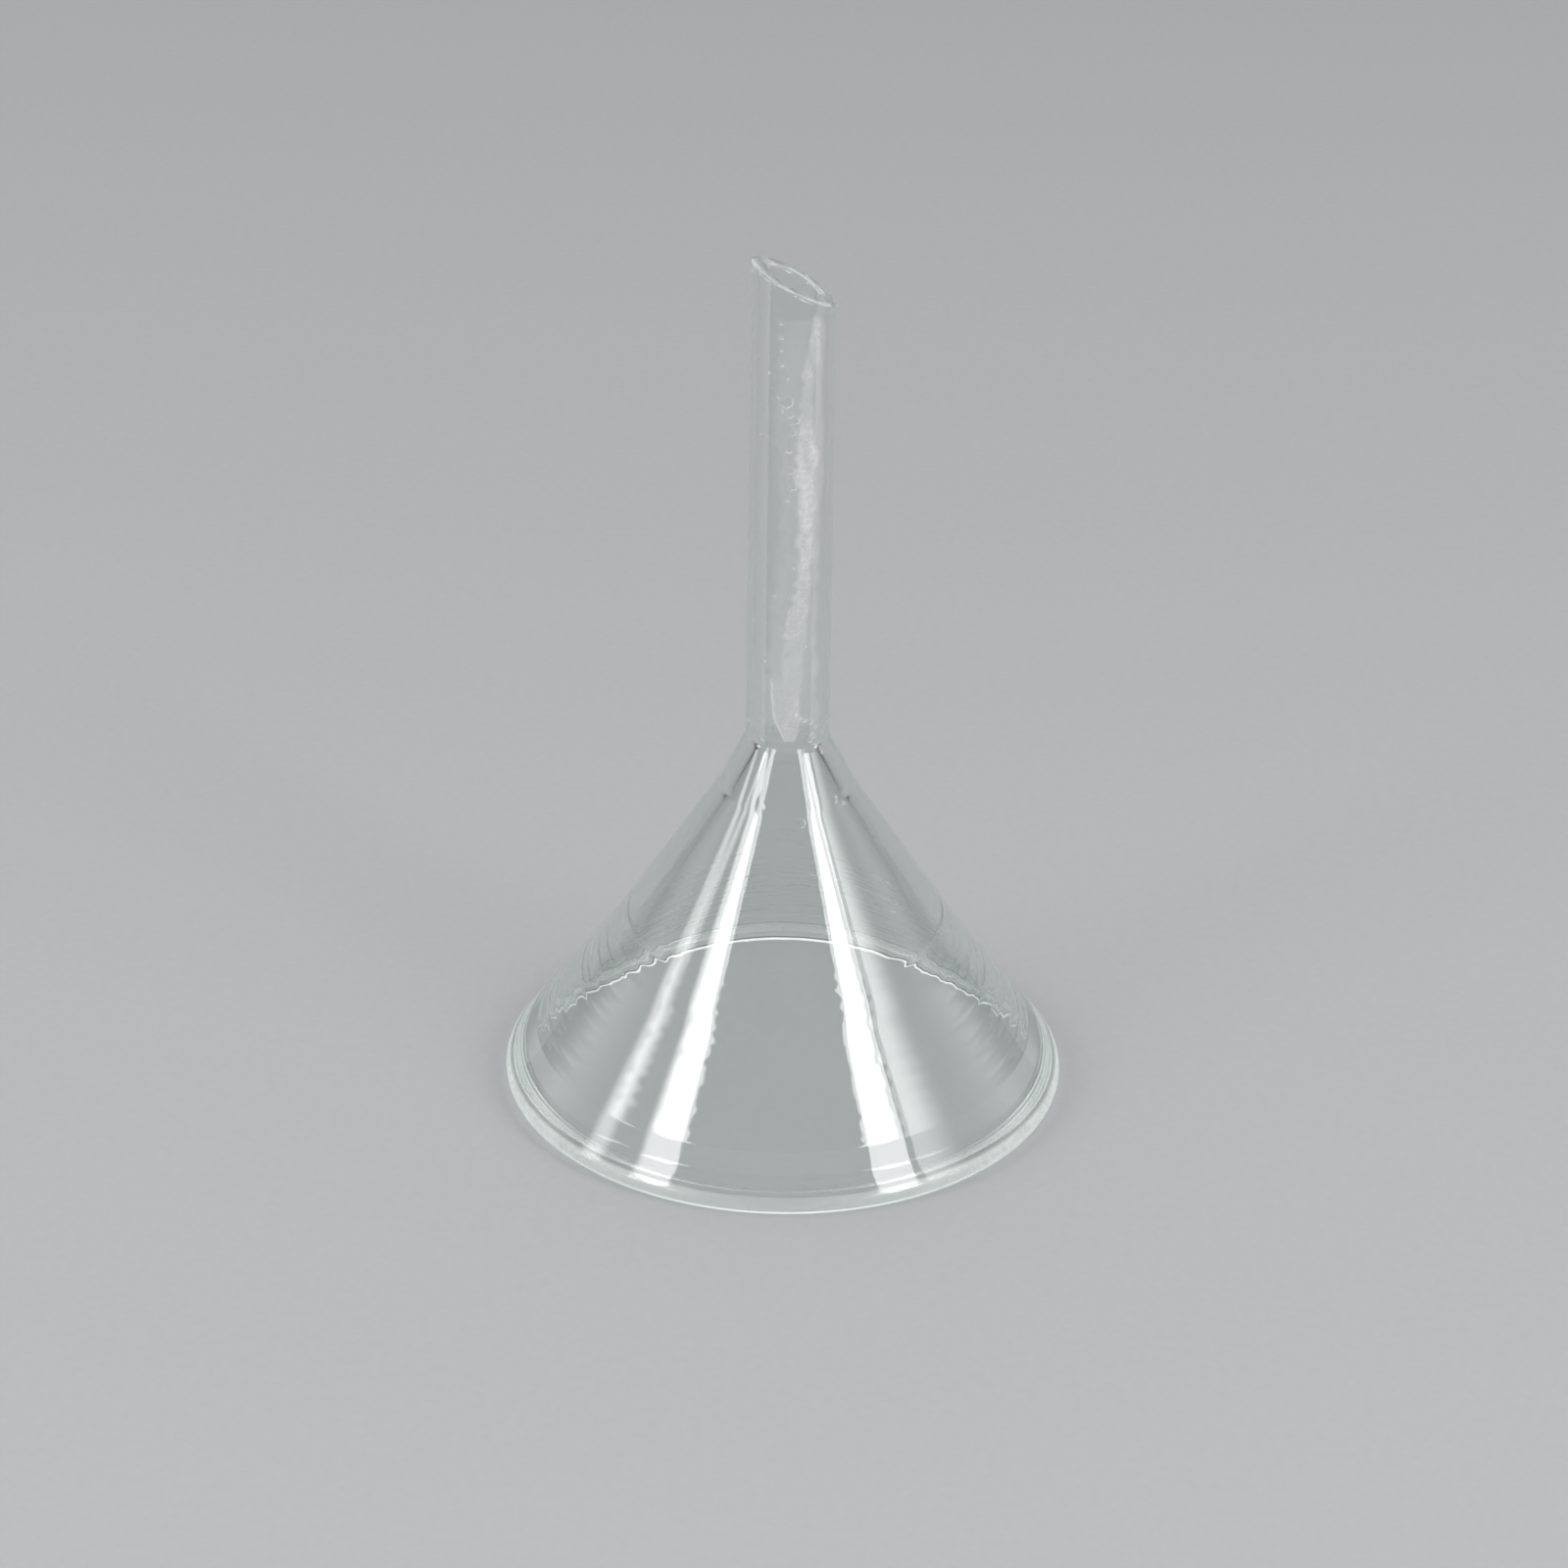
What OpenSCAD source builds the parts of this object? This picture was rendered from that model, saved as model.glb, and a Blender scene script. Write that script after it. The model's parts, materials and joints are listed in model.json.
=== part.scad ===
// Glass filter funnel: a conical mouth with a beaded rim, drawn in one piece into a straight stem
// whose tip is cut on the slant. It stands on its rim with the stem up. Millimetres.
// The origin is the centre of the rim's foot, and +Z runs up the stem.

/* [Mouth] */
// Diameter across the beaded rim
mouth_d = 40; // [34:0.5:60]
// Diameter of the round bead that the rim melted into
bead_d = 1.8; // [1.5:0.1:2.4]
// Width of the flat foot that the bead stands on
foot_w = 0.6; // [0.2:0.1:1]
// Radius of the hollow fillet between the bead and the inside of the wall
bead_fillet_r = 0.8; // [0.4:0.1:1.5]
// Height up to which the mouth was opened with a tool
tooled_h = 11; // [6:0.5:14]
// Degrees by which the tooled mouth opens wider than the cone above it
mouth_flare = 3.6; // [1:0.1:6]

/* [Cone] */
// Half-angle of the cone
cone_angle = 32.4; // [28:0.1:36]
// Thickness of the cone's wall, square to the glass
cone_wall = 1.2; // [0.8:0.1:1.4]
// Radius that eases the tooled mouth into the cone on the outside
knee_outer_r = 30; // [10:5:60]
// Radius that eases the tooled mouth into the cone on the inside
knee_inner_r = 8; // [4:1:30]

/* [Shoulder] */
// Half-angle of the short shoulder between the cone and the stem
shoulder_angle = 25.4; // [15:0.1:27]
// Height of the shoulder
shoulder_h = 4; // [2:0.5:6]
// Radius that eases the cone into the shoulder
shoulder_r = 3; // [1:0.5:10]
// Radius in the corner between the shoulder and the stem
root_r = 1.2; // [0.6:0.2:5]

/* [Stem] */
// Outer diameter of the stem
stem_d = 5.9; // [5.5:0.1:8]
// Diameter of the stem's bore
bore_d = 3.2; // [2:0.1:3.6]
// Length of the stem, from its root at the shoulder to the middle of the tip's cut
stem_l = 33.9; // [20:0.1:80]
// Height by which the throat of the bore lies below the stem's root
throat_drop = 0.3; // [0:0.1:1]
// Radius that eases the inside of the shoulder into the bore
throat_r = 0.8; // [0.4:0.1:3]

/* [Tip] */
// Slant of the tip's cut, measured from square
tip_slant = 28; // [0:1:45]
// Direction in which the cut runs down, turned from +X towards +Y
tip_turn = 8; // [0:1:359]
// Height of the lip that the flame left on the cut
lip_h = 0.5; // [0.2:0.1:1]
// Squareness of the lip: 2 is a round crown, more is a flatter one with round edges
lip_square = 4; // [2:0.5:6]

/* [Hidden] */
$fn = 128;
// Straight steps that stand for one arc of the section
arc_steps = 16;
// Length by which the uncut stem and the cutting block run past the tip
spare_l = 4;
// Steps of the lip round the stem and over its crown
lip_sides = 72;
lip_steps = 12;
// Depth to which the lip is rooted in the cut stem, and the ledge that it leaves beside each wall
lip_root = 0.4;
lip_ledge = 0.02;

mouth_angle = cone_angle + mouth_flare;
cone_slope = tan(cone_angle);
mouth_slope = tan(mouth_angle);
stem_r = stem_d / 2;
bore_r = bore_d / 2;

// Bead: a circle whose lowest part is flattened into the foot
bead_r = bead_d / 2;
bead_drop = sqrt(bead_r * bead_r - foot_w * foot_w / 4);
bead_at = [mouth_d / 2 - bead_r, bead_drop];
foot_angle = asin(foot_w / bead_d);

// Directions square to the tooled wall, out of the glass, and along it towards the stem
wall_out = [cos(mouth_angle), sin(mouth_angle)];
wall_up = [-sin(mouth_angle), cos(mouth_angle)];

// Fillet circle that touches the bead and the inside of the tooled wall
inset = cone_wall - bead_r + bead_fillet_r;
reach = bead_r + bead_fillet_r;
fillet_at = bead_at - inset * wall_out + sqrt(reach * reach - inset * inset) * wall_up;
fillet_to_bead = direction(fillet_at, bead_at);

// Corners of the outside
rim_top = bead_at + bead_r * wall_out;
knee_outer = [rim_top.x - (tooled_h - rim_top.y) * mouth_slope, tooled_h];
shoulder_foot_r = stem_r + shoulder_h * tan(shoulder_angle);
shoulder_foot = [shoulder_foot_r, tooled_h + (knee_outer.x - shoulder_foot_r) / cone_slope];
root = [stem_r, shoulder_foot.y + shoulder_h];
tip_h = root.y + stem_l;
stem_top_h = tip_h + stem_r * tan(tip_slant) + spare_l;

// Corners of the inside, one wall away from the outside
mouth_shift = cone_wall / cos(mouth_angle);
cone_shift = cone_wall / cos(cone_angle);
knee_inner_h = tooled_h - (mouth_shift - cone_shift) / (mouth_slope - cone_slope);
knee_inner = [knee_outer.x + (tooled_h - knee_inner_h) * mouth_slope - mouth_shift, knee_inner_h];
shoulder_shift = cone_wall / cos(shoulder_angle);
inner_drop = (cone_shift - shoulder_shift) / (cone_slope - tan(shoulder_angle));
inner_foot = [shoulder_foot_r + inner_drop * cone_slope - cone_shift, shoulder_foot.y - inner_drop];
throat = [bore_r, root.y - throat_drop];

// Angle of the direction from one point to another
function direction(a, b) = atan2(b.y - a.y, b.x - a.x);

// Points of an arc round a centre, from its first step on
function arc(centre, radius, from, to, first = 0) = [
    for (i = [first:arc_steps])
        let (angle = from + (to - from) * i / arc_steps)
        centre + radius * [cos(angle), sin(angle)]
];

// Points of the arc that rounds the corner at b between a and c
function rounded(a, b, c, radius) =
    let (
        towards_a = (a - b) / norm(a - b),
        towards_c = (c - b) / norm(c - b),
        half = acos(towards_a * towards_c) / 2,
        middle = (towards_a + towards_c) / norm(towards_a + towards_c),
        centre = b + middle * radius / sin(half),
        from = direction(centre, b + towards_a * radius / tan(half)),
        turn = direction(centre, b + towards_c * radius / tan(half)) - from
    )
    arc(centre, radius, from, from + turn - 360 * round(turn / 360));

// Half section of the glass, from the tip down the outside, round the bead and up the inside
function section() = concat(
    [[stem_r, stem_top_h]],
    rounded([stem_r, stem_top_h], root, shoulder_foot, root_r),
    rounded(root, shoulder_foot, knee_outer, shoulder_r),
    rounded(shoulder_foot, knee_outer, rim_top, knee_outer_r),
    arc(bead_at, bead_r, mouth_angle, foot_angle - 90),
    arc(bead_at, bead_r, -foot_angle - 90, fillet_to_bead - 180),
    arc(fillet_at, bead_fillet_r, fillet_to_bead, mouth_angle, first = 1),
    rounded(fillet_at + bead_fillet_r * wall_out, knee_inner, inner_foot, knee_inner_r),
    rounded(knee_inner, inner_foot, throat, shoulder_r),
    rounded(inner_foot, throat, [bore_r, stem_top_h], throat_r),
    [[bore_r, stem_top_h]]
);

// Block above the slanted cut of the tip
module above_tip() {
    side = 2 * (stem_d + spare_l);
    translate([0, 0, tip_h])
        rotate([0, tip_slant, tip_turn])
            translate([-side / 2, -side / 2, 0])
                cube(side);
}

// Height of the slanted cut above a point of the plan
function cut_h(x, y) = tip_h - (x * cos(tip_turn) + y * sin(tip_turn)) * tan(tip_slant);

// Section of the lip: a crown as wide as the wall, rooted below the cut
function lip_section() =
    let (middle = (stem_r + bore_r) / 2, half = (stem_r - bore_r) / 2 - lip_ledge)
    concat(
        [[middle + half, -lip_root]],
        [
            for (step = [0:lip_steps])
                let (angle = 180 * step / lip_steps, side = cos(angle))
                [
                    middle + half * sign(side) * pow(abs(side), 2 / lip_square),
                    lip_h * pow(sin(angle), 2 / lip_square)
                ]
        ],
        [[middle - half, -lip_root]]
    );

// Ring of the lip, which follows the slanted cut
module lip() {
    outline = lip_section();
    count = len(outline);
    points = [
        for (side = [0:lip_sides - 1])
            for (p = outline)
                let (angle = 360 * side / lip_sides, x = p.x * cos(angle), y = p.x * sin(angle))
                [x, y, cut_h(x, y) + p.y]
    ];
    faces = [
        for (side = [0:lip_sides - 1])
            for (i = [0:count - 1])
                let (
                    here = side * count,
                    beside = (side + 1) % lip_sides * count,
                    j = (i + 1) % count
                )
                for (face = [[here + i, here + j, beside + j], [here + i, beside + j, beside + i]])
                    face
    ];
    polyhedron(points, faces);
}

module funnel() {
    color([0.85, 0.91, 0.91, 0.45]) {
        difference() {
            rotate_extrude() polygon(section());
            above_tip();
        }
        lip();
    }
}

funnel();
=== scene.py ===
import json
import math
import random

import bpy
import numpy as np
from mathutils import Matrix, Vector

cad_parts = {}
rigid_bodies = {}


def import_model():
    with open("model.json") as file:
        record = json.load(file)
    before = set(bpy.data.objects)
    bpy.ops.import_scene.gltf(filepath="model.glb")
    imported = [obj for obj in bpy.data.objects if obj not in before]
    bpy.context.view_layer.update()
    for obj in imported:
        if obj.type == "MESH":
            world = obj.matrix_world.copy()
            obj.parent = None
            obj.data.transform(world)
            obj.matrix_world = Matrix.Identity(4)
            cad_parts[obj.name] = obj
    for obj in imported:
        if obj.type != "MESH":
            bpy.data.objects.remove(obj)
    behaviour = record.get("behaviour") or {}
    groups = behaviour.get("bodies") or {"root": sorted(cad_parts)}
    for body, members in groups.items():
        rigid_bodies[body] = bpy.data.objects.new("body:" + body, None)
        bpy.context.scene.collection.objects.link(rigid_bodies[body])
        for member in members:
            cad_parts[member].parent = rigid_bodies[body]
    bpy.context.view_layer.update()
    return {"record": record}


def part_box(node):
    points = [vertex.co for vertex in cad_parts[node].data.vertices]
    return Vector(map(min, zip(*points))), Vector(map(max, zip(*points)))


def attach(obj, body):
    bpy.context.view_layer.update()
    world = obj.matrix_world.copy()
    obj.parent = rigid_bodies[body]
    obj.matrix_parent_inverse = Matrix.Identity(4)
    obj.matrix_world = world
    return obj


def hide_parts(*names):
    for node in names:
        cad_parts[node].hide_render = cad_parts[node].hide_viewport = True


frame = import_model()
mm = 0.001
mounts = {mount["name"]: mount["dims"] for mount in frame["record"]["mounts"]}
nodeLow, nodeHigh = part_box("funnel")
rimRadius = (nodeHigh.x - nodeLow.x) / 2 / mm
fullHeight = nodeHigh.z / mm
stemRadius = mounts["stem"]["r_mm"]
boreRadius = mounts["bore"]["r_mm"]
print("frame loaded, rim", round(2 * rimRadius, 2), "mm, height", round(fullHeight, 2), "mm")


# Glass body

glass = {
    "beadDiameter": 1.8,        # round bead of the rim, mm
    "footWidth": 0.6,           # flat under the bead
    "beadFillet": 0.8,          # hollow between the bead and the inside
    "tooledHeight": 11.0,       # mouth opened with a tool up to here
    "coneAngle": 32.4,          # half-angle of the cone, degrees
    "mouthFlare": 3.6,          # the tooled mouth opens by this much more
    "wall": 1.2,
    "kneeOuter": 30.0,          # easing radii, mm
    "kneeInner": 8.0,
    "shoulderAngle": 25.4,
    "shoulderHeight": 4.0,
    "shoulderEase": 3.0,
    "rootEase": 1.2,
    "throatDrop": 0.3,          # the bore's throat lies this far below the stem's root
    "throatEase": 0.8,
    "straightFrom": 1.2,        # the stem's rows start this far above its root
    "tipSlant": 28.0,
    "tipTurn": 8.0,             # downhill side of the cut, from +X towards +Y
    "lipHeight": 0.5,           # crown that the flame left on the cut
    "lipSquare": 4.0,           # 2 is a round crown, more is a flatter one with round edges
    "sides": 192,
    "stemRows": 20,
    "lipRows": 24,
    "arcSteps": 48,
    "beadTop": 2.2,             # the bead ends below this height
    "beadStep": 0.1,            # spacing of the rows on the bead, mm
    "ringTop": 14.4,            # the tool's marks end below this height
    "ringStep": 0.08,           # on the inside, where the marks are
    "shoulderFrom": 21.5,       # the easings of the shoulder and the root lie above this height
    "shoulderStep": 0.125,
    "plainStep": 0.5,
}


def polar(length, angle):
    return Vector((length * math.cos(angle), length * math.sin(angle)))


def direction(a, b):
    return math.atan2(b.y - a.y, b.x - a.x)


def arcPoints(centre, radius, start, end):
    steps = glass["arcSteps"]
    return [centre + polar(radius, start + (end - start) * i / steps) for i in range(steps + 1)]


def roundCorner(a, b, c, radius):
    toA = (a - b).normalized()
    toC = (c - b).normalized()
    half = math.acos(toA.dot(toC)) / 2
    centre = b + (toA + toC).normalized() * radius / math.sin(half)
    start = direction(centre, b + toA * radius / math.tan(half))
    turn = direction(centre, b + toC * radius / math.tan(half)) - start
    turn -= math.tau * round(turn / math.tau)
    return arcPoints(centre, radius, start, start + turn)


# The half section below the straight stem, as (radius, height) in mm: first the outside, then the inside.
def sectionOutline():
    mouthAngle = math.radians(glass["coneAngle"] + glass["mouthFlare"])
    coneAngle = math.radians(glass["coneAngle"])
    coneSlope = math.tan(coneAngle)
    mouthSlope = math.tan(mouthAngle)
    beadRadius = glass["beadDiameter"] / 2
    beadDrop = math.sqrt(beadRadius ** 2 - glass["footWidth"] ** 2 / 4)
    bead = Vector((rimRadius - beadRadius, beadDrop))
    footAngle = math.asin(glass["footWidth"] / glass["beadDiameter"])
    wallOut = polar(1, mouthAngle)
    wallUp = polar(1, mouthAngle + math.pi / 2)
    inset = glass["wall"] - beadRadius + glass["beadFillet"]
    reach = beadRadius + glass["beadFillet"]
    fillet = bead - inset * wallOut + math.sqrt(reach ** 2 - inset ** 2) * wallUp
    toBead = direction(fillet, bead)
    rimTop = bead + beadRadius * wallOut
    tooled = glass["tooledHeight"]
    kneeOut = Vector((rimTop.x - (tooled - rimTop.y) * mouthSlope, tooled))
    shoulderAngle = math.radians(glass["shoulderAngle"])
    footRadius = stemRadius + glass["shoulderHeight"] * math.tan(shoulderAngle)
    shoulder = Vector((footRadius, tooled + (kneeOut.x - footRadius) / coneSlope))
    root = Vector((stemRadius, shoulder.y + glass["shoulderHeight"]))
    straight = root.y + glass["straightFrom"]
    mouthShift = glass["wall"] / math.cos(mouthAngle)
    coneShift = glass["wall"] / math.cos(coneAngle)
    kneeHeight = tooled - (mouthShift - coneShift) / (mouthSlope - coneSlope)
    kneeIn = Vector((kneeOut.x + (tooled - kneeHeight) * mouthSlope - mouthShift, kneeHeight))
    shoulderShift = glass["wall"] / math.cos(shoulderAngle)
    innerDrop = (coneShift - shoulderShift) / (coneSlope - math.tan(shoulderAngle))
    innerFoot = Vector((footRadius + innerDrop * coneSlope - coneShift, shoulder.y - innerDrop))
    throat = Vector((boreRadius, root.y - glass["throatDrop"]))
    stemFoot = Vector((stemRadius, straight))
    boreFoot = Vector((boreRadius, straight))
    outside = [stemFoot]
    outside += roundCorner(stemFoot, root, shoulder, glass["rootEase"])
    outside += roundCorner(root, shoulder, kneeOut, glass["shoulderEase"])
    outside += roundCorner(shoulder, kneeOut, rimTop, glass["kneeOuter"])
    outside += arcPoints(bead, beadRadius, mouthAngle, footAngle - math.pi / 2)
    inside = arcPoints(bead, beadRadius, -footAngle - math.pi / 2, toBead - math.pi)
    inside += arcPoints(fillet, glass["beadFillet"], toBead, mouthAngle)
    inside += roundCorner(fillet + glass["beadFillet"] * wallOut, kneeIn, innerFoot, glass["kneeInner"])
    inside += roundCorner(kneeIn, innerFoot, throat, glass["shoulderEase"])
    inside += roundCorner(innerFoot, throat, boreFoot, glass["throatEase"])
    inside += [boreFoot]
    return outside, inside


def rowSpacing(height, marked):
    if height < glass["beadTop"]:
        return glass["beadStep"]
    if marked and height < glass["ringTop"]:
        return glass["ringStep"]
    if height > glass["shoulderFrom"]:
        return glass["shoulderStep"]
    return glass["plainStep"]


def resample(points, marked):
    kept = [points[0]]
    left = rowSpacing(points[0].y, marked)
    for a, b in zip(points, points[1:]):
        span = (b - a).length
        done = 0.0
        while span - done > left:
            done += left
            kept.append(a.lerp(b, done / span))
            left = rowSpacing(kept[-1].y, marked)
        left -= span - done
    return kept + [points[-1]]


# Marks that the tool left in the hot mouth: fine rings, none of them quite level or quite even.
tooling = {
    # height, ridge and width in mm, from the top down
    "rings": [
        (12.4, 0.100, 0.15), (11.3, -0.034, 0.20), (10.2, 0.034, 0.13), (9.2, 0.066, 0.14),
        (8.4, -0.036, 0.18), (7.6, 0.066, 0.14), (6.7, 0.034, 0.14), (5.8, -0.042, 0.18),
        (5.0, 0.032, 0.13), (4.2, 0.056, 0.14), (3.5, -0.028, 0.18),
    ],
    "arch": 1.25,               # the top ring rises by this much at the back, mm
    "archWidth": 14.0,          # degrees
    "wander": 0.1,              # a ring runs up and down by this much, mm
    "thirdWave": 0.5,           # share of its wander that has three waves round the mouth
    "uneven": 0.25,             # a ridge swells and sinks by this share
    "front": 0.055,             # share of a ridge that is left on the camera's side
    "strongFrom": (45, 140),    # it grows to the full between these angles from the camera's side
    "outerShare": 0.1,          # the outside shows this share of it
    "ripple": (0.003, 14),      # faint unevenness between the rings: height in mm and number of waves
    "rippleTurns": (4, 22),     # a wave's turns round the mouth
    "rippleRise": (0.8, 3.0),   # and its length up the wall, mm
    "rippleFade": 2.0,          # it fades over this height at either end
    "lastFlare": (3.3, 0.195),  # below this height the inside opens wider by this slope
    "flareEnd": (2.15, 1.15),   # it is full at the first height and gone at the second
    "seed": 11,
}

# Shallow dents of each side: azimuth and height of the middle, relief, width and length
dents = {
    "outside": [(-22.0, 24.05, -0.05, 0.3, 0.55)],
    "inside": [(31.0, 19.5, 0.008, 0.8, 0.8)],
}


def ease(x):
    x = np.clip(x, 0, 1)
    return x * x * (3 - 2 * x)


def toolRings(height, azimuth):
    rng = random.Random(tooling["seed"])
    relief = np.zeros_like(height)
    start, full = tooling["strongFrom"]
    aside = 180 - np.abs(np.degrees(azimuth) - 180)
    share = tooling["front"] + (1 - tooling["front"]) * ease((aside - start) / (full - start))
    rise = tooling["arch"] * np.exp(-((180 - aside) / tooling["archWidth"]) ** 2)
    for level, ridge, width in tooling["rings"]:
        turn, turnThird, fade = (rng.uniform(0, math.tau) for _ in range(3))
        wander = np.sin(azimuth + turn) + tooling["thirdWave"] * np.sin(3 * azimuth + turnThird)
        strength = share * (1 - tooling["uneven"] + tooling["uneven"] * np.sin(2 * azimuth + fade))
        ring = level + tooling["wander"] * wander + rise
        relief += ridge * strength * np.exp(-((height - ring) / width) ** 2)
        rise = 0                # only the top ring has the arch
    most, waves = tooling["ripple"]
    fade = tooling["rippleFade"]
    most = most * ease((glass["ringTop"] - height) / fade) * ease((height - glass["beadTop"]) / fade)
    for _ in range(waves):
        turns = rng.randint(*tooling["rippleTurns"]) * rng.choice((-1, 1))
        length = rng.uniform(*tooling["rippleRise"])
        phase = turns * azimuth + math.tau * (height / length + rng.random())
        relief += most * math.sqrt(2 / waves) * np.sin(phase)
    level, slope = tooling["lastFlare"]
    full, gone = tooling["flareEnd"]
    level = level + tooling["wander"] * np.sin(2 * azimuth + rng.uniform(0, math.tau))
    relief += slope * np.clip(level - height, 0, level - full) * ease((height - gone) / (full - gone))
    return relief


def dentRelief(side, radius, height, azimuth):
    total = np.zeros_like(height)
    for middle, level, relief, width, length in dents[side]:
        aside = radius * (azimuth - math.radians(middle % 360))
        total += relief * np.exp(-(aside / width) ** 2 - ((height - level) / length) ** 2)
    return total


# Height of the slanted cut; azimuth 0 faces the camera and grows towards +X.
def cutHeight(radius, azimuth):
    slope = math.tan(math.radians(glass["tipSlant"]))
    turn = math.radians(glass["tipTurn"])
    middle = (stemRadius + boreRadius) / 2
    half = (stemRadius - boreRadius) / 2
    power = glass["lipSquare"] / (glass["lipSquare"] - 1)
    crown = ((half * slope) ** power + glass["lipHeight"] ** power) ** (1 / power)
    tip = fullHeight - middle * slope - crown
    downhill = np.sin(azimuth) * math.cos(turn) - np.cos(azimuth) * math.sin(turn)
    return tip - radius * downhill * slope


def gridFaces(rows, sides):
    quads = []
    for i in range(rows):
        here = i * sides
        below = (i + 1) % rows * sides
        for j in range(sides):
            k = (j + 1) % sides
            quads.append((here + j, below + j, below + k, here + k))
    return quads


def makeObject(name, verts, faces):
    mesh = bpy.data.meshes.new(name)
    mesh.from_pydata(verts, [], faces)
    mesh.polygons.foreach_set("use_smooth", [True] * len(mesh.polygons))
    mesh.update()
    obj = bpy.data.objects.new(name, mesh)
    bpy.context.scene.collection.objects.link(obj)
    return obj


def buildGlass():
    outside, inside = sectionOutline()
    outside = resample(outside, False)
    inside = resample(inside, True)
    straight = outside[0].y
    shares = [1 - i / glass["stemRows"] for i in range(glass["stemRows"])]
    # each row: radius, height, share of the way up to the cut, height above it, share of the rings
    rows = [(stemRadius, straight, share, 0, 0) for share in shares]
    rows += [(p.x, p.y, 0, 0, tooling["outerShare"]) for p in outside]
    rows += [(p.x, p.y, 0, 0, 1) for p in inside]
    rows += [(boreRadius, straight, share, 0, 0) for share in reversed(shares)]
    middle = (stemRadius + boreRadius) / 2
    half = (stemRadius - boreRadius) / 2
    for i in range(1, glass["lipRows"]):
        angle = math.pi * i / glass["lipRows"]
        across = math.copysign(abs(math.cos(angle)) ** (2 / glass["lipSquare"]), math.cos(angle))
        crown = glass["lipHeight"] * math.sin(angle) ** (2 / glass["lipSquare"])
        rows.append((middle - half * across, straight, 1, crown, 0))
    radius, base, share, crown, rings = (np.array(column)[:, None] for column in zip(*rows))
    azimuth = np.arange(glass["sides"])[None, :] * math.tau / glass["sides"]
    height = base + share * (cutHeight(radius, azimuth) - base) + crown
    radius = radius + rings * toolRings(height, azimuth)
    radius = radius + (rings == 1) * dentRelief("inside", radius, height, azimuth)
    radius = radius + (rings == tooling["outerShare"]) * dentRelief("outside", radius, height, azimuth)
    points = np.stack([radius * np.sin(azimuth), -radius * np.cos(azimuth), height], axis=-1) * mm
    verts = points.reshape(-1, 3).tolist()
    return makeObject("funnelGlass", verts, gridFaces(len(rows), glass["sides"]))


# Radius of either wall at a height, for what clings to it
outerWall, innerWall = sectionOutline()
outerWall = outerWall[::-1]
innerWall = innerWall[len(innerWall) // 2:]


def outerRadius(height):
    return np.interp(height, [p.y for p in outerWall], [p.x for p in outerWall])


def innerRadius(height):
    return np.interp(height, [p.y for p in innerWall], [p.x for p in innerWall])


# What dried on the glass
coat = {
    "thickness": 0.05,          # where the cover is full, mm
    "sunk": 0.02,               # it starts this far inside the glass, so the two are in contact
    "leastCover": 0.035,        # thinner haze is left out
    "dropEdge": 0.065,          # half-width of a drop's edge, mm
    "dropCover": 0.75,
    "dropThin": 0.25,           # share of it on the thin side of the edge
    "dropClear": 0.5,           # share of other cover that a drop took away
    "dropTurn": (-100, -10),    # directions of the thickest part of that edge
}

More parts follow.
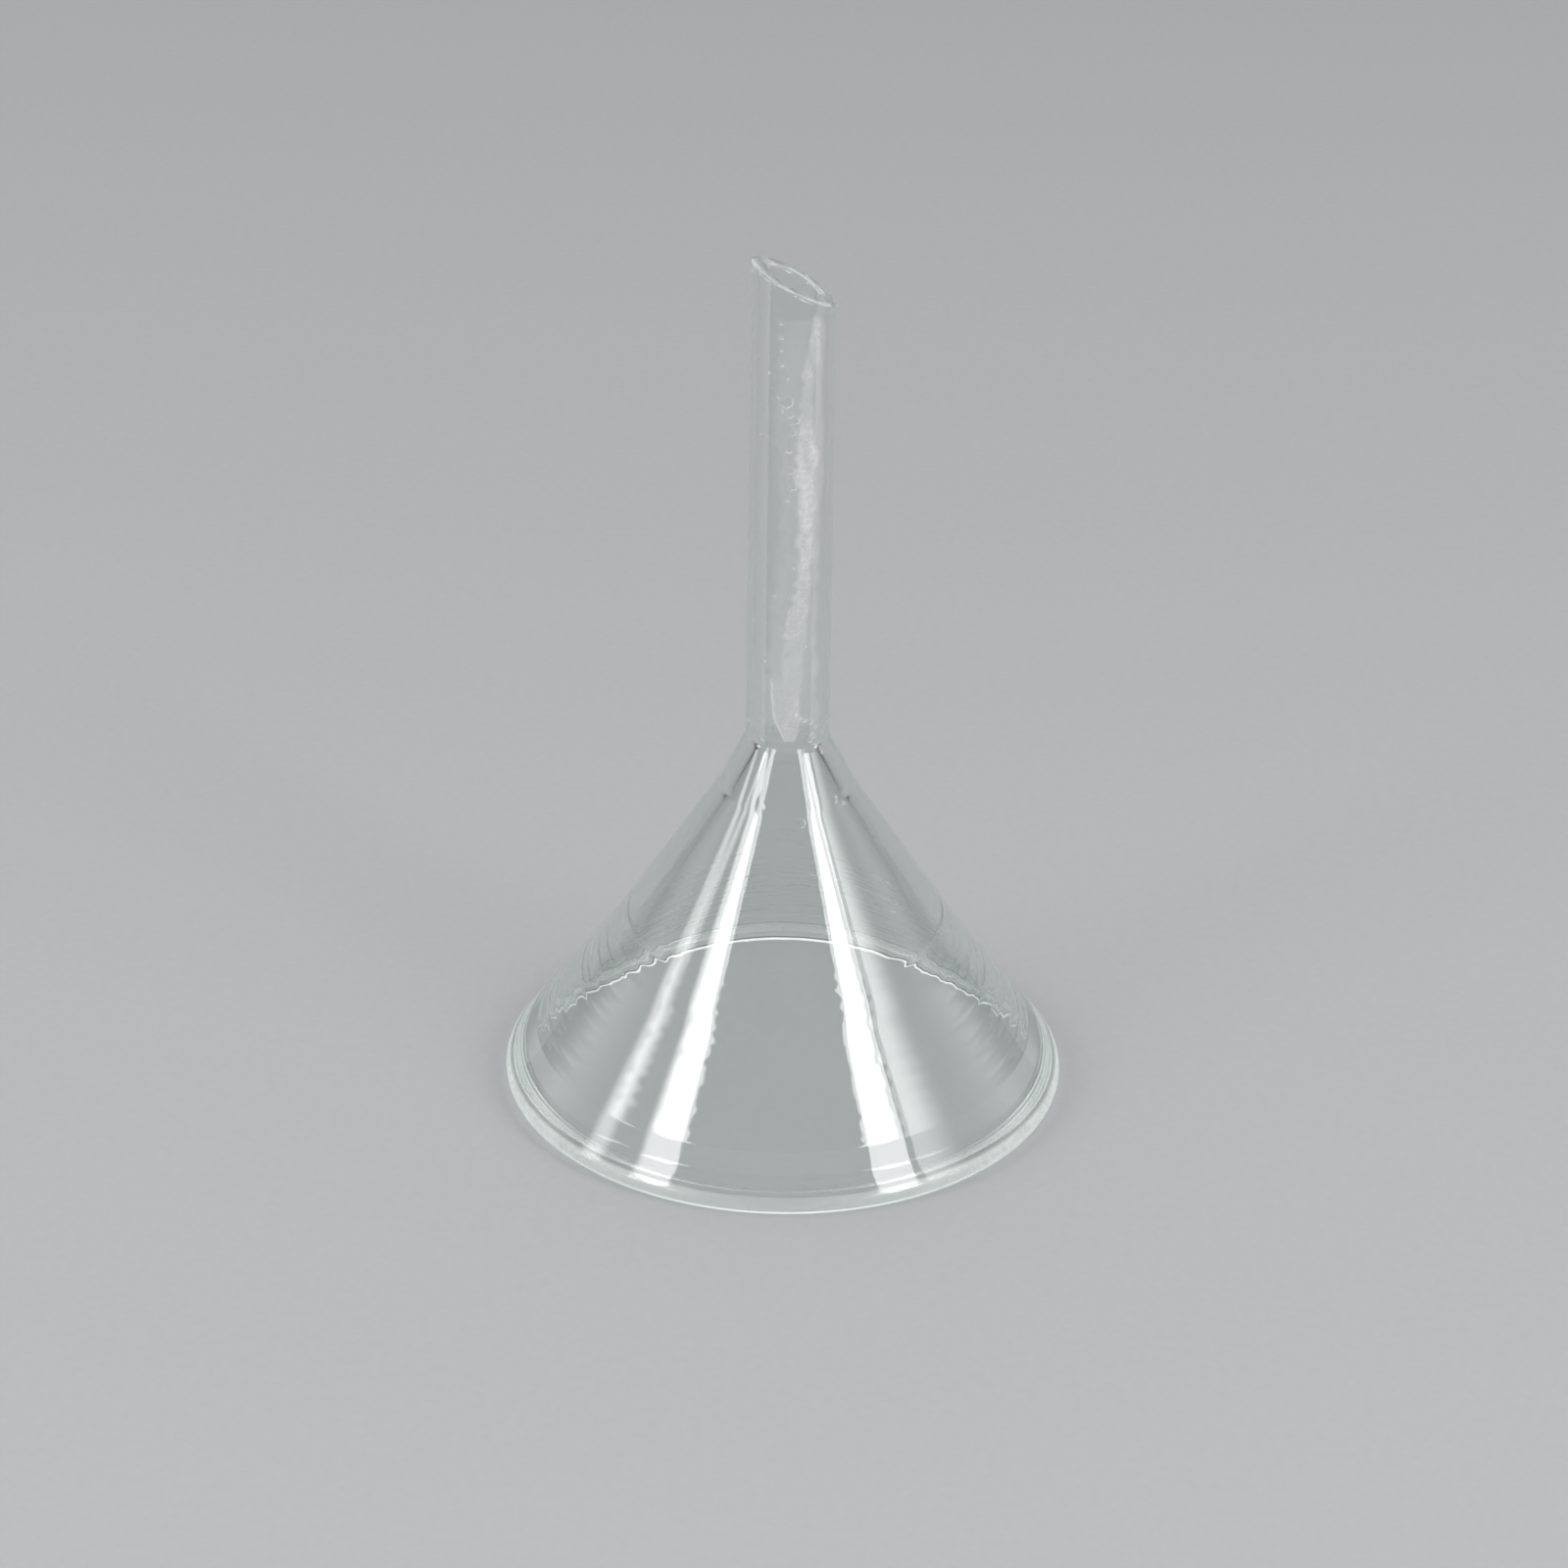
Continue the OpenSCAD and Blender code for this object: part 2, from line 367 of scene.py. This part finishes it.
# Dried residue on the wall of the bore. Places are an azimuth in degrees and a height in mm.
residue = {
    "low": 25.2,
    "high": 60.8,
    "left": -114.0,
    "right": 116.0,
    "rowStep": 0.08,            # mm
    "columnStep": 2.5,          # degrees
    "seed": 23,
    # height, azimuths of the left and the right edge, cover
    "cap": [
        (60.2, 44, 48, 0.3), (59.5, 38, 59, 0.6), (58.2, 37, 63, 0.65), (56.8, 38, 62, 0.5),
        (56.2, 44, 56, 0.2),
    ],
    "run": [
        (57.4, 26, 46, 0.35), (56.4, 22, 45, 0.5), (53.6, 18, 44, 0.55), (52.4, 18, 44, 0.6),
        (51.6, 14, 50, 0.8), (49.4, 11, 56, 0.85), (46.1, 16, 56, 0.85), (42.8, 18, 52, 0.8),
        (39.8, 13, 46, 0.7), (36.9, -10, 36, 0.6), (34.6, -15, 32, 0.55), (32.3, -17, 26, 0.5),
        (31.2, -10, 16, 0.3),
    ],
    "tongue": [
        (33.2, -37, 20, 0.2), (32.6, -36, 22, 0.45), (31.0, -33, 25, 0.55), (29.6, -26, 25, 0.6),
        (28.5, -13, 22, 0.6), (27.9, -8, 18, 0.4),
    ],
    "haze": [
        (60.0, -26, 74, 0.12), (52.0, -30, 78, 0.2), (44.0, -24, 70, 0.18), (36.0, -40, 60, 0.2),
        (29.0, -60, 80, 0.15),
    ],
    "softEdge": {"cap": 14.0, "run": 18.0, "tongue": 5.0, "haze": 34.0},
    "ragged": {"cap": 8.0, "run": 13.0, "tongue": 4.0, "haze": 20.0},
    "frayCells": ((60, 0.5), (60, 0.8)),    # width and height of the left and the right edge's fraying
    "grainCells": ((0.5, 16, 1.4), (0.3, 10, 0.5), (0.2, 36, 0.16)),    # share, width and height
    "leastGrain": 0.4,
    "fullGrain": 0.7,           # the grain's clouds are full at this value
    "tongueRim": (0.85, 3.0),   # cover and half-width of its thick left edge
    "tongueEnds": (0.8, 0.3),   # heights over which that edge fades at its top and its foot
    # dried drops: azimuth, height, radius in mm
    "drops": [
        (-22.8, 54.2, 0.18), (-22.4, 53.2, 0.13), (-4.0, 52.9, 0.17), (8.0, 52.5, 0.20),
        (24.3, 52.6, 0.15), (2.4, 51.6, 0.15), (-5.0, 50.3, 0.18), (-0.5, 48.8, 0.22),
        (5.9, 47.5, 0.16), (-8.0, 46.6, 0.12), (-25.0, 59.6, 0.10), (-24.0, 58.6, 0.12),
        (-24.0, 57.7, 0.10), (-22.0, 56.6, 0.12), (-12.0, 55.6, 0.10), (-13.0, 53.9, 0.42),
    ],
    "specks": [
        (20.0, 43.3), (8.0, 41.4), (-30.0, 39.2), (-93.0, 36.6), (35.0, 38.5), (36.0, 35.3), (-52.0, 33.9),
        (-101.0, 56.4), (-107.0, 54.0), (-76.0, 51.0), (-51.0, 55.8),
    ],
    "speckSize": 0.1,
    "speckCover": 0.9,
    "mostCover": 0.95,
}

# Dried drops on the outside, round the stem's root
spots = {
    "low": 22.4,
    "high": 31.0,
    "left": 4.0,
    "right": 64.0,
    "rowStep": 0.05,
    "columnStep": 0.9,
    "seed": 5,
    "drops": [
        (9.6, 30.5, 0.10), (15.8, 30.2, 0.13), (23.6, 30.0, 0.15), (34.0, 29.7, 0.14), (41.4, 29.3, 0.12),
        (34.2, 28.8, 0.12), (39.6, 28.5, 0.14), (32.6, 28.3, 0.15), (44.0, 27.9, 0.16), (47.2, 27.5, 0.13),
        (49.2, 27.2, 0.12), (49.2, 24.2, 0.10), (47.6, 23.9, 0.12), (53.4, 23.6, 0.12), (56.6, 23.5, 0.09),
        (12.2, 23.1, 0.26),
    ],
}

# Milky haze where the outside of the rim was ground and then flamed; it is laid thicker at the left and the
# right, which is painted light from the side lamps
rimHazeAndPaintedLight = {
    "low": 0.25,
    "high": 1.7,
    "left": -180.0,
    "right": 180.0,
    "rowStep": 0.1,
    "columnStep": 1.5,
    "fade": 0.25,               # it starts and ends over this height, mm
    "cover": (0.2, 0.74),       # in front and at the sides; the extra cover at the sides is painted light
    "mottle": (5.0, 0.6, 0.85),     # width in degrees, height, least share
    "seed": 31,
}


# Cloudy values from 0 to 1 over a plan, with cells of the given width and height
def clouds(x, y, width, height, rng):
    across = (x - x.min()) / width
    up = (y - y.min()) / height
    lattice = rng.random((int(up.max()) + 2, int(across.max()) + 2))
    column, row = across.astype(int), up.astype(int)
    a, b = ease(across - column), ease(up - row)
    lower = lattice[row, column] * (1 - a) + lattice[row, column + 1] * a
    upper = lattice[row + 1, column] * (1 - a) + lattice[row + 1, column + 1] * a
    return lower * (1 - b) + upper * b


def patchCover(name, azimuth, height, rng):
    levels, lefts, rights, covers = (list(column)[::-1] for column in zip(*residue[name]))
    fray = residue["ragged"][name]
    soft = residue["softEdge"][name]
    leftCell, rightCell = residue["frayCells"]
    left = np.interp(height, levels, lefts) + fray * (clouds(azimuth, height, *leftCell, rng) - 0.5)
    right = np.interp(height, levels, rights) + fray * (clouds(azimuth, height, *rightCell, rng) - 0.5)
    inside = ease((azimuth - left) / soft + 0.5) * ease((right - azimuth) / soft + 0.5)
    inside = inside * (height > levels[0]) * (height < levels[-1])
    grain = np.zeros_like(height)
    for share, *cell in residue["grainCells"]:
        grain = grain + share * clouds(azimuth, height, *cell, rng)
    grain = residue["leastGrain"] + (1 - residue["leastGrain"]) * grain / residue["fullGrain"]
    return np.interp(height, levels, covers) * inside * grain, left


# A dried drop is a ring, thickest where the last of it stood.
def addDrops(cover, azimuth, height, drops, wallRadius, rng):
    perDegree = math.radians(1) * wallRadius(height)
    for middle, level, size in drops:
        aside, up = (azimuth - middle) * perDegree, height - level
        away = np.hypot(aside, up)
        turn = math.radians(rng.uniform(*coat["dropTurn"]))
        low = ease(0.5 + 0.5 * (aside * math.cos(turn) + up * math.sin(turn)) / size)
        share = coat["dropThin"] + (1 - coat["dropThin"]) * low
        edge = np.exp(-((away - size) / coat["dropEdge"]) ** 2)
        cleared = cover * (1 - coat["dropClear"] * np.exp(-(away / size) ** 4))
        cover = np.maximum(cleared, coat["dropCover"] * share * edge)
    return cover


def residueCover(azimuth, height):
    rng = np.random.default_rng(residue["seed"])
    cover = np.zeros_like(azimuth)
    for name in ("haze", "cap", "run", "tongue"):
        patch, left = patchCover(name, azimuth, height, rng)
        cover = np.maximum(cover, patch)
    # thick left edge of the tongue, where the liquid stood last
    most, half = residue["tongueRim"]
    levels = [p[0] for p in residue["tongue"]]
    topFade, footFade = residue["tongueEnds"]
    along = ease((levels[0] - height) / topFade) * ease((height - levels[-1]) / footFade)
    cover = np.maximum(cover, most * along * np.exp(-((azimuth - left) / half) ** 2))
    cover = addDrops(cover, azimuth, height, residue["drops"], innerRadius, rng)
    perDegree = math.radians(1) * innerRadius(height)
    for middle, level in residue["specks"]:
        away = np.hypot((azimuth - middle) * perDegree, height - level) / residue["speckSize"]
        cover = np.maximum(cover, residue["speckCover"] * np.exp(-away ** 2))
    return np.clip(cover, 0, residue["mostCover"])


def spotCover(azimuth, height):
    rng = np.random.default_rng(spots["seed"])
    return addDrops(np.zeros_like(azimuth), azimuth, height, spots["drops"], outerRadius, rng)


def hazeCoverWithPaintedSideLight(azimuth, height):
    rng = np.random.default_rng(rimHazeAndPaintedLight["seed"])
    front, side = rimHazeAndPaintedLight["cover"]
    width, tall, least = rimHazeAndPaintedLight["mottle"]
    fade = rimHazeAndPaintedLight["fade"]
    # painted light: the cover grows from the front towards the left and the right, where the side lamps
    # light the bead, on top of the real ground haze
    cover = front + (side - front) * np.abs(np.sin(np.radians(azimuth)))
    cover = cover * ease((height - rimHazeAndPaintedLight["low"]) / fade) * ease((rimHazeAndPaintedLight["high"] - height) / fade)
    return cover * (least + (1 - least) * clouds(azimuth, height, width, tall, rng))


# A closed film wherever a wall is covered: its wall side and its free side meet along the film's edge.
def buildFilm(name, plan, coverOf, wallRadius, side):
    rows = int((plan["high"] - plan["low"]) / plan["rowStep"])
    columns = int((plan["right"] - plan["left"]) / plan["columnStep"])
    up = plan["low"] + plan["rowStep"] * np.arange(rows + 1)
    across = plan["left"] + plan["columnStep"] * np.arange(columns + 1)
    azimuth, height = np.meshgrid(across, up)
    cover = coverOf(azimuth, height)
    wet = cover > coat["leastCover"]
    cells = wet[:-1, :-1] & wet[1:, :-1] & wet[:-1, 1:] & wet[1:, 1:]
    blocks = cells[:-1, :-1] & cells[1:, :-1] & cells[:-1, 1:] & cells[1:, 1:]
    cells = np.zeros_like(cells)
    for i in (0, 1):
        for j in (0, 1):
            cells[i:rows - 1 + i, j:columns - 1 + j] |= blocks
    inner = np.zeros_like(wet)
    inner[1:-1, 1:-1] = cells[:-1, :-1] & cells[1:, :-1] & cells[:-1, 1:] & cells[1:, 1:]
    verts, covers, numbers = [], [], {}

    def vertex(i, j, free):
        key = (i, j, free and bool(inner[i, j]))
        if key not in numbers:
            thick = coat["thickness"] * cover[i, j] if key[2] else 0
            radius = wallRadius(up[i]) + side * (thick - coat["sunk"])
            turn = math.radians(across[j])
            numbers[key] = len(verts)
            verts.append((radius * math.sin(turn) * mm, -radius * math.cos(turn) * mm, up[i] * mm))
            covers.append(1 - math.sqrt(1 - cover[i, j]))
        return numbers[key]

    faces = []
    for i, j in np.argwhere(cells).tolist():
        corners = ((i, j), (i, j + 1), (i + 1, j + 1), (i + 1, j))
        faces.append([vertex(a, b, side > 0) for a, b in corners])
        faces.append([vertex(a, b, side < 0) for a, b in reversed(corners)])
    film = makeObject(name, verts, faces)
    film.data.attributes.new("cover", "FLOAT", "POINT").data.foreach_set("value", covers)
    return film


# Materials

def newMaterial(name):
    material = bpy.data.materials.new(name)
    material.use_nodes = True
    nodes = material.node_tree.nodes
    nodes.clear()
    return material, nodes, material.node_tree.links


# Mottling that the glass, the films and the floor share, each with its own grain.
mottling = {
    "detail": 4,
    "spread": (0.3, 0.7),       # the noise between these values is spread over the whole range
}


def makeMottleGroup():
    group = bpy.data.node_groups.new("mottle", "ShaderNodeTree")
    for name, value in (("Grain", 1000.0), ("Stretch", 1.0), ("Low", 0.0), ("High", 1.0)):
        socket = group.interface.new_socket(name, in_out="INPUT", socket_type="NodeSocketFloat")
        socket.default_value = value
    group.interface.new_socket("Value", in_out="OUTPUT", socket_type="NodeSocketFloat")
    nodes, links = group.nodes, group.links
    source = nodes.new("NodeGroupInput")
    sink = nodes.new("NodeGroupOutput")
    place = nodes.new("ShaderNodeTexCoord")
    squeeze = nodes.new("ShaderNodeCombineXYZ")
    squeeze.inputs["X"].default_value = 1
    squeeze.inputs["Y"].default_value = 1
    links.new(source.outputs["Stretch"], squeeze.inputs["Z"])
    scaled = nodes.new("ShaderNodeVectorMath")
    scaled.operation = "MULTIPLY"
    links.new(place.outputs["Object"], scaled.inputs[0])
    links.new(squeeze.outputs["Vector"], scaled.inputs[1])
    noise = nodes.new("ShaderNodeTexNoise")
    noise.inputs["Detail"].default_value = mottling["detail"]
    links.new(scaled.outputs["Vector"], noise.inputs["Vector"])
    links.new(source.outputs["Grain"], noise.inputs["Scale"])
    least, most = mottling["spread"]
    spread = nodes.new("ShaderNodeMapRange")
    spread.inputs["From Min"].default_value = least
    spread.inputs["From Max"].default_value = most
    links.new(noise.outputs["Fac"], spread.inputs["Value"])
    links.new(source.outputs["Low"], spread.inputs["To Min"])
    links.new(source.outputs["High"], spread.inputs["To Max"])
    links.new(spread.outputs["Result"], sink.inputs["Value"])
    return group


mottle = makeMottleGroup()


def addMottle(material, grain, stretch, low, high):
    node = material.node_tree.nodes.new("ShaderNodeGroup")
    node.node_tree = mottle
    node.inputs["Grain"].default_value = grain
    node.inputs["Stretch"].default_value = stretch
    node.inputs["Low"].default_value = low
    node.inputs["High"].default_value = high
    return node.outputs["Value"]


def addRamp(nodes, links, factor, dark, light):
    mix = nodes.new("ShaderNodeMix")
    mix.data_type = "RGBA"
    mix.inputs["A"].default_value = (*dark, 1)
    mix.inputs["B"].default_value = (*light, 1)
    links.new(factor, mix.inputs["Factor"])
    return mix.outputs["Result"]


def smoothRange(nodes, links, value, start, full, strength):
    spread = nodes.new("ShaderNodeMapRange")
    spread.interpolation_type = "SMOOTHSTEP"
    spread.inputs["From Min"].default_value = start
    spread.inputs["From Max"].default_value = full
    spread.inputs["To Max"].default_value = strength
    links.new(value, spread.inputs["Value"])
    return spread.outputs["Result"]


clearGlass = {
    "ior": 1.49,
    "tint": ((0.905, 0.930, 0.921), (0.935, 0.955, 0.947)),
    "tintMottle": (260, 0.4, 0.0, 1.0),
    "edge": (0.74, 0.81, 0.785),            # tint where the glass is seen edge on
    "edgeFrom": (0.3, 0.8),                 # turn away from the eye between which it grows
    "smudge": (900, 0.6, 0.0, 0.012),       # grain, stretch, least and most roughness
    "bead": (500, 1.0, 0.05, 0.12),         # the same on the bead, which was ground before the flame
    "beadEdge": (0.0019, 0.0015),           # heights in m between which that starts
    "waves": (700, 0.12, 0.0, 1.0),         # draw lines, long in the drawing direction
    "waveStrength": 0.02,
    "waveDepth": 0.00004,
    "shadow": (0.925, 0.94, 0.935),         # light that each face lets through
}


def makeGlassMaterial():
    material, nodes, links = newMaterial("clearGlass")
    shader = nodes.new("ShaderNodeBsdfPrincipled")
    shader.inputs["Transmission Weight"].default_value = 1
    shader.inputs["IOR"].default_value = clearGlass["ior"]
    patches = addMottle(material, *clearGlass["tintMottle"])
    aside = nodes.new("ShaderNodeLayerWeight")
    turned = smoothRange(nodes, links, aside.outputs["Facing"], *clearGlass["edgeFrom"], 1)
    edge = nodes.new("ShaderNodeMix")
    edge.data_type = "RGBA"
    links.new(turned, edge.inputs["Factor"])
    links.new(addRamp(nodes, links, patches, *clearGlass["tint"]), edge.inputs["A"])
    edge.inputs["B"].default_value = (*clearGlass["edge"], 1)
    links.new(edge.outputs["Result"], shader.inputs["Base Color"])
    # the bead is rougher than the rest
    place = nodes.new("ShaderNodeTexCoord")
    parts = nodes.new("ShaderNodeSeparateXYZ")
    links.new(place.outputs["Object"], parts.inputs["Vector"])
    onBead = smoothRange(nodes, links, parts.outputs["Z"], *clearGlass["beadEdge"], 1)
    rough = nodes.new("ShaderNodeMix")
    links.new(onBead, rough.inputs["Factor"])
    links.new(addMottle(material, *clearGlass["smudge"]), rough.inputs["A"])
    links.new(addMottle(material, *clearGlass["bead"]), rough.inputs["B"])
    links.new(rough.outputs["Result"], shader.inputs["Roughness"])
    bump = nodes.new("ShaderNodeBump")
    bump.inputs["Strength"].default_value = clearGlass["waveStrength"]
    bump.inputs["Distance"].default_value = clearGlass["waveDepth"]
    links.new(addMottle(material, *clearGlass["waves"]), bump.inputs["Height"])
    links.new(bump.outputs["Normal"], shader.inputs["Normal"])
    # lamps reach the floor through the glass
    through = nodes.new("ShaderNodeBsdfTransparent")
    through.inputs["Color"].default_value = (*clearGlass["shadow"], 1)
    path = nodes.new("ShaderNodeLightPath")
    either = nodes.new("ShaderNodeMath")
    either.operation = "MAXIMUM"
    links.new(path.outputs["Is Shadow Ray"], either.inputs[0])
    links.new(path.outputs["Is Diffuse Ray"], either.inputs[1])
    mix = nodes.new("ShaderNodeMixShader")
    links.new(either.outputs["Value"], mix.inputs["Fac"])
    links.new(shader.outputs["BSDF"], mix.inputs[1])
    links.new(through.outputs["BSDF"], mix.inputs[2])
    output = nodes.new("ShaderNodeOutputMaterial")
    links.new(mix.outputs["Shader"], output.inputs["Surface"])
    return material


driedFilm = {
    "colour": ((0.84, 0.81, 0.83), (0.93, 0.905, 0.92)),
    "grain": (2600, 0.5, 0.0, 1.0),
    "cover": (5200, 0.6, 0.75, 1.0),        # grain, stretch, least and most share of the cover
    "roughness": 0.8,
}

# Film for the rim's haze; where it is laid thicker at the sides it is painted light
groundHazeAndPaintedLight = {
    "colour": ((0.84, 0.875, 0.85), (0.92, 0.95, 0.93)),
    "grain": (1500, 1.0, 0.0, 1.0),
    "cover": (2400, 1.0, 0.8, 1.0),
    "roughness": 0.6,
}


def makeFilmMaterial(name, look):
    material, nodes, links = newMaterial(name)
    shader = nodes.new("ShaderNodeBsdfPrincipled")
    shader.inputs["Roughness"].default_value = look["roughness"]
    grain = addMottle(material, *look["grain"])
    links.new(addRamp(nodes, links, grain, *look["colour"]), shader.inputs["Base Color"])
    cover = nodes.new("ShaderNodeAttribute")
    cover.attribute_name = "cover"
    share = nodes.new("ShaderNodeMath")
    share.operation = "MULTIPLY"
    links.new(cover.outputs["Fac"], share.inputs[0])
    links.new(addMottle(material, *look["cover"]), share.inputs[1])
    links.new(share.outputs["Value"], shader.inputs["Alpha"])
    output = nodes.new("ShaderNodeOutputMaterial")
    links.new(shader.outputs["BSDF"], output.inputs["Surface"])
    return material


# Floor, lamps and camera

floor = {
    "size": 8.0,                # m
    "below": 0.00004,           # just clear of the foot
    "colour": ((0.41, 0.415, 0.42), (0.425, 0.43, 0.435)),
    "mottle": (1400, 1.0, 0.0, 1.0),
    "roughness": 0.75,
    "gloss": 0.2,
}


def makeFloor():
    half = floor["size"] / 2
    z = -floor["below"]
    corners = [(-half, -half, z), (half, -half, z), (half, half, z), (-half, half, z)]
    obj = makeObject("floor", corners, [(0, 1, 2, 3)])
    material, nodes, links = newMaterial("paleFloor")
    shader = nodes.new("ShaderNodeBsdfPrincipled")
    shader.inputs["Roughness"].default_value = floor["roughness"]
    shader.inputs["Specular IOR Level"].default_value = floor["gloss"]
    patches = addMottle(material, *floor["mottle"])
    links.new(addRamp(nodes, links, patches, *floor["colour"]), shader.inputs["Base Color"])
    output = nodes.new("ShaderNodeOutputMaterial")
    links.new(shader.outputs["BSDF"], output.inputs["Surface"])
    obj.data.materials.append(material)
    return obj


studio = {
    "distance": 0.7,            # lamps to the middle of the cone, m
    "aimHeight": 0.018,
    # azimuth from the camera towards +X, elevation, width and height in degrees, radiance,
    # share of the width over which the left and the right side fade
    "softboxes": {
        "leftSoftbox": (-55.8, 28, 16.4, 34, 8.0, 0.25, 0.08),
        "leftStrip": (-81.8, 24, 12, 32, 5.2, 0.4, 0.45),
        "rightSoftbox": (49.5, 28.5, 15, 35, 8.0, 0.05, 0.05),
        "rightSoft": (72, 26, 20, 32, 4.0, 0.05, 0.85),
    },
    "world": 0.16,              # dim room
    "zenith": (0.5, 40, 65),    # light from above: strength, elevations where it starts and is full
    "back": (1.15, 93, 55),     # light from behind: strength, angles from there where it starts and is full
    "backBand": (5, 14, 36, 52),    # elevations where it starts, is full, starts to fade and ends
    "worldColour": (0.985, 0.99, 1.0),
}


def towards(azimuth, elevation):
    a, e = math.radians(azimuth), math.radians(elevation)
    return Vector((math.sin(a) * math.cos(e), -math.cos(a) * math.cos(e), math.sin(e)))


def combine(nodes, links, operation, a, b):
    node = nodes.new("ShaderNodeMath")
    node.operation = operation
    for value, socket in ((a, node.inputs[0]), (b, node.inputs[1])):
        if isinstance(value, float):
            socket.default_value = value
        else:
            links.new(value, socket)
    return node.outputs["Value"]


# A softbox fades towards its sides.
def fadeSides(lamp, leftShare, rightShare):
    lamp.use_nodes = True
    nodes, links = lamp.node_tree.nodes, lamp.node_tree.links
    place = nodes.new("ShaderNodeNewGeometry")
    parts = nodes.new("ShaderNodeSeparateXYZ")
    links.new(place.outputs["Parametric"], parts.inputs["Vector"])
    left = smoothRange(nodes, links, parts.outputs["X"], 0, leftShare, 1)
    right = smoothRange(nodes, links, parts.outputs["X"], 1, 1 - rightShare, 1)
    links.new(combine(nodes, links, "MULTIPLY", left, right), nodes["Emission"].inputs["Strength"])


def makeLamps():
    aim = Vector((0, 0, studio["aimHeight"]))
    for name, (azimuth, elevation, width, height, radiance, *fades) in studio["softboxes"].items():
        lamp = bpy.data.lights.new(name, "AREA")
        lamp.shape = "RECTANGLE"
        lamp.size = 2 * studio["distance"] * math.tan(math.radians(width / 2))
        lamp.size_y = 2 * studio["distance"] * math.tan(math.radians(height / 2))
        lamp.energy = 4 * lamp.size * lamp.size_y * radiance    # power that gives this radiance
        fadeSides(lamp, *fades)
        obj = bpy.data.objects.new(name, lamp)
        away = towards(azimuth, elevation)
        obj.location = aim + away * studio["distance"]
        obj.rotation_mode = "QUATERNION"
        obj.rotation_quaternion = away.to_track_quat("Z", "Y")
        bpy.context.scene.collection.objects.link(obj)


# A dim room with soft light from above and from behind
def makeWorld():
    world = bpy.data.worlds.new("studio")
    world.use_nodes = True
    nodes, links = world.node_tree.nodes, world.node_tree.links
    place = nodes.new("ShaderNodeTexCoord")
    parts = nodes.new("ShaderNodeSeparateXYZ")
    links.new(place.outputs["Generated"], parts.inputs["Vector"])
    strength, start, full = studio["zenith"]
    above = smoothRange(nodes, links, parts.outputs["Z"], math.sin(math.radians(start)),
                        math.sin(math.radians(full)), strength)
    strength, start, full = studio["back"]
    behind = smoothRange(nodes, links, parts.outputs["Y"], math.cos(math.radians(start)),
                         math.cos(math.radians(full)), strength)
    rise, lit, fade, end = (math.sin(math.radians(angle)) for angle in studio["backBand"])
    for dark, bright in ((rise, lit), (end, fade)):
        edge = smoothRange(nodes, links, parts.outputs["Z"], dark, bright, 1)
        behind = combine(nodes, links, "MULTIPLY", behind, edge)
    total = combine(nodes, links, "ADD", combine(nodes, links, "ADD", above, behind), studio["world"])
    background = nodes["Background"]
    background.inputs["Color"].default_value = (*studio["worldColour"], 1)
    links.new(total, background.inputs["Strength"])
    bpy.context.scene.world = world


camera = {
    "elevation": 28.24,
    "distance": 388.5,          # mm
    "target": (-0.19, 0.0, 23.49),
    "roll": 0.8,
    "focal": 5619.0,            # pixels of the 1600 wide picture
    "pictureWidth": 1600.0,
    "sensor": 36.0,
    "clipStart": 0.01,          # m
}


def makeCamera():
    data = bpy.data.cameras.new("camera")
    data.sensor_width = camera["sensor"]
    data.lens = camera["focal"] / camera["pictureWidth"] * camera["sensor"]
    data.clip_start = camera["clipStart"]
    obj = bpy.data.objects.new("camera", data)
    back = towards(0, camera["elevation"])
    turn = back.to_track_quat("Z", "Y").to_matrix() @ Matrix.Rotation(math.radians(camera["roll"]), 3, "Z")
    place = (Vector(camera["target"]) + back * camera["distance"]) * mm
    obj.matrix_world = Matrix.Translation(place) @ turn.to_4x4()
    bpy.context.scene.collection.objects.link(obj)
    bpy.context.scene.camera = obj


makeCamera()
makeFloor()
makeLamps()
makeWorld()
print("camera, floor and lamps set")

body = buildGlass()
body.data.materials.append(makeGlassMaterial())
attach(body, "root")
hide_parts("funnel")
print("glass body:", len(body.data.polygons), "quads")

dried = makeFilmMaterial("driedFilm", driedFilm)
hazeAndLightMaterial = makeFilmMaterial("groundHazeAndPaintedLight", groundHazeAndPaintedLight)
for film, material in (
    (buildFilm("driedResidue", residue, residueCover, innerRadius, -1), dried),
    (buildFilm("driedDrops", spots, spotCover, outerRadius, 1), dried),
    (buildFilm("rimHazeAndPaintedLight", rimHazeAndPaintedLight, hazeCoverWithPaintedSideLight, outerRadius, 1), hazeAndLightMaterial),
):
    film.data.materials.append(material)
    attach(film, "root")
    print(film.name, len(film.data.polygons), "quads")

scene = bpy.context.scene
scene.view_settings.view_transform = "Standard"
scene.cycles.caustics_reflective = False
scene.cycles.caustics_refractive = False
# light is passed along inside the glass many times
scene.cycles.max_bounces = 96
scene.cycles.glossy_bounces = 64
scene.cycles.transmission_bounces = 64
scene.cycles.transparent_max_bounces = 32
